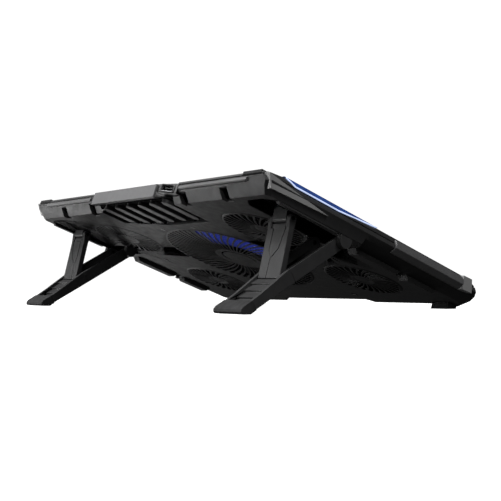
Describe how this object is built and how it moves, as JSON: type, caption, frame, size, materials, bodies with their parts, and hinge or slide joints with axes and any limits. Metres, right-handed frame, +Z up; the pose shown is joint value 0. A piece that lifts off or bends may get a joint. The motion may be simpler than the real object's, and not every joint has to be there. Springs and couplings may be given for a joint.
{
  "type": "laptop cooling pad",
  "caption": "Sloping laptop cooling pad with round fans under a perforated top, fold-out rear legs on struts, a rear socket module and blue side lights.",
  "frame": {"origin": "centre of the footprint, on the table", "axes": "+Z up, +Y towards the raised rear edge, +X to the left of someone behind the pad who faces it"},
  "size_m": [0.3936, 0.2546, 0.1072],
  "materials": {
    "case": "fine matte grain",
    "module": "smooth satin",
    "black_plastic": "satin black",
    "fan_plastic": "satin",
    "perforated_metal": "powder coated",
    "rubber": "matte",
    "steel": "plain",
    "blue_lens": "translucent, lit from inside",
    "circuit_board": "solder mask"
  },
  "bodies": {
    "root": {"bottom_shell": "case", "top_frame": "case", "main_fan_grille": "case", "rear_left_fan_grille": "case", "rear_right_fan_grille": "case", "front_left_fan_grille": "case", "front_right_fan_grille": "case", "module_housing": "module", "module_face_plate": "module", "side_panel_left": "module", "side_panel_right": "module", "module_end_cap_left": "black_plastic", "module_end_cap_right": "black_plastic", "vent_insert": "black_plastic", "main_fan_frame": "fan_plastic", "rear_left_fan_frame": "fan_plastic", "rear_right_fan_frame": "fan_plastic", "front_left_fan_frame": "fan_plastic", "front_right_fan_frame": "fan_plastic", "top_panel": "perforated_metal", "front_foot_left": "rubber", "front_foot_right": "rubber", "rear_rim_rubber_left": "rubber", "rear_rim_rubber_right": "rubber", "usb_socket_left": "steel", "usb_socket_right": "steel", "case_screw_1": "steel", "case_screw_2": "steel", "case_screw_3": "steel", "case_screw_4": "steel", "case_screw_5": "steel", "case_screw_6": "steel", "leg_pin_inner_left": "steel", "leg_pin_inner_right": "steel", "leg_pin_outer_left": "steel", "leg_pin_outer_right": "steel", "strut_pin_left": "steel", "strut_pin_right": "steel", "stop_pin_left": "steel", "stop_pin_right": "steel", "side_light_left": "blue_lens", "side_light_right": "blue_lens", "control_board": "circuit_board"},
    "leg_left": {"leg_left": "case", "leg_foot_left": "rubber"},
    "strut_left": {"strut_left": "case"},
    "stop_left": {"laptop_stop_left": "black_plastic"},
    "leg_right": {"leg_right": "case", "leg_foot_right": "rubber"},
    "strut_right": {"strut_right": "case"},
    "stop_right": {"laptop_stop_right": "black_plastic"},
    "main_rotor": {"main_fan_rotor": "fan_plastic"},
    "rear_left_rotor": {"rear_left_fan_rotor": "fan_plastic"},
    "rear_right_rotor": {"rear_right_fan_rotor": "fan_plastic"},
    "front_left_rotor": {"front_left_fan_rotor": "fan_plastic"},
    "front_right_rotor": {"front_right_fan_rotor": "fan_plastic"},
    "fan_button": {"fan_button": "black_plastic"},
    "light_button": {"light_button": "black_plastic"}
  },
  "joints": [
    {"name": "leg_left_fold", "type": "hinge", "parent": "root", "child": "leg_left", "pos_m": [0.1665, 0.02922, 0.0555], "axis": [1, 0, 0], "range_deg": [0, 48]},
    {"name": "strut_left_fold", "type": "hinge", "parent": "root", "child": "strut_left", "pos_m": [0.1665, 0.07418, 0.07231], "axis": [1, 0, 0], "range_deg": [-83, 0]},
    {"name": "stop_left_flip", "type": "hinge", "parent": "root", "child": "stop_left", "pos_m": [0.09, -0.11307, 0.02345], "axis": [1, 0, 0], "range_deg": [0, 92]},
    {"name": "leg_right_fold", "type": "hinge", "parent": "root", "child": "leg_right", "pos_m": [-0.1665, 0.02922, 0.0555], "axis": [1, 0, 0], "range_deg": [0, 48]},
    {"name": "strut_right_fold", "type": "hinge", "parent": "root", "child": "strut_right", "pos_m": [-0.1665, 0.07418, 0.07231], "axis": [1, 0, 0], "range_deg": [-83, 0]},
    {"name": "stop_right_flip", "type": "hinge", "parent": "root", "child": "stop_right", "pos_m": [-0.09, -0.11307, 0.02345], "axis": [1, 0, 0], "range_deg": [0, 92]},
    {"name": "main_fan_spin", "type": "hinge", "parent": "root", "child": "main_rotor", "pos_m": [0, -0.00853, 0.05367], "axis": [0, -0.3502, 0.9367], "continuous": true},
    {"name": "rear_left_fan_spin", "type": "hinge", "parent": "root", "child": "rear_left_rotor", "pos_m": [0.1105, 0.04767, 0.07468], "axis": [0, -0.3502, 0.9367], "continuous": true},
    {"name": "rear_right_fan_spin", "type": "hinge", "parent": "root", "child": "rear_right_rotor", "pos_m": [-0.1105, 0.04767, 0.07468], "axis": [0, -0.3502, 0.9367], "continuous": true},
    {"name": "front_left_fan_spin", "type": "hinge", "parent": "root", "child": "front_left_rotor", "pos_m": [0.112, -0.06286, 0.03336], "axis": [0, -0.3502, 0.9367], "continuous": true},
    {"name": "front_right_fan_spin", "type": "hinge", "parent": "root", "child": "front_right_rotor", "pos_m": [-0.112, -0.06286, 0.03336], "axis": [0, -0.3502, 0.9367], "continuous": true},
    {"name": "fan_button_press", "type": "slide", "parent": "root", "child": "fan_button", "axis": [0, 0.3502, -0.9367], "range_m": [0, 0.0012], "stiffness_N_per_m": 300, "springref_m": -0.0005},
    {"name": "light_button_press", "type": "slide", "parent": "root", "child": "light_button", "axis": [0, 0.3502, -0.9367], "range_m": [0, 0.0012], "stiffness_N_per_m": 300, "springref_m": -0.0005}
  ],
  "couplings": [
    {"joint": "strut_left_fold", "follows": "leg_left_fold", "ratio": -1.7258},
    {"joint": "strut_right_fold", "follows": "leg_right_fold", "ratio": -1.7258}
  ]
}
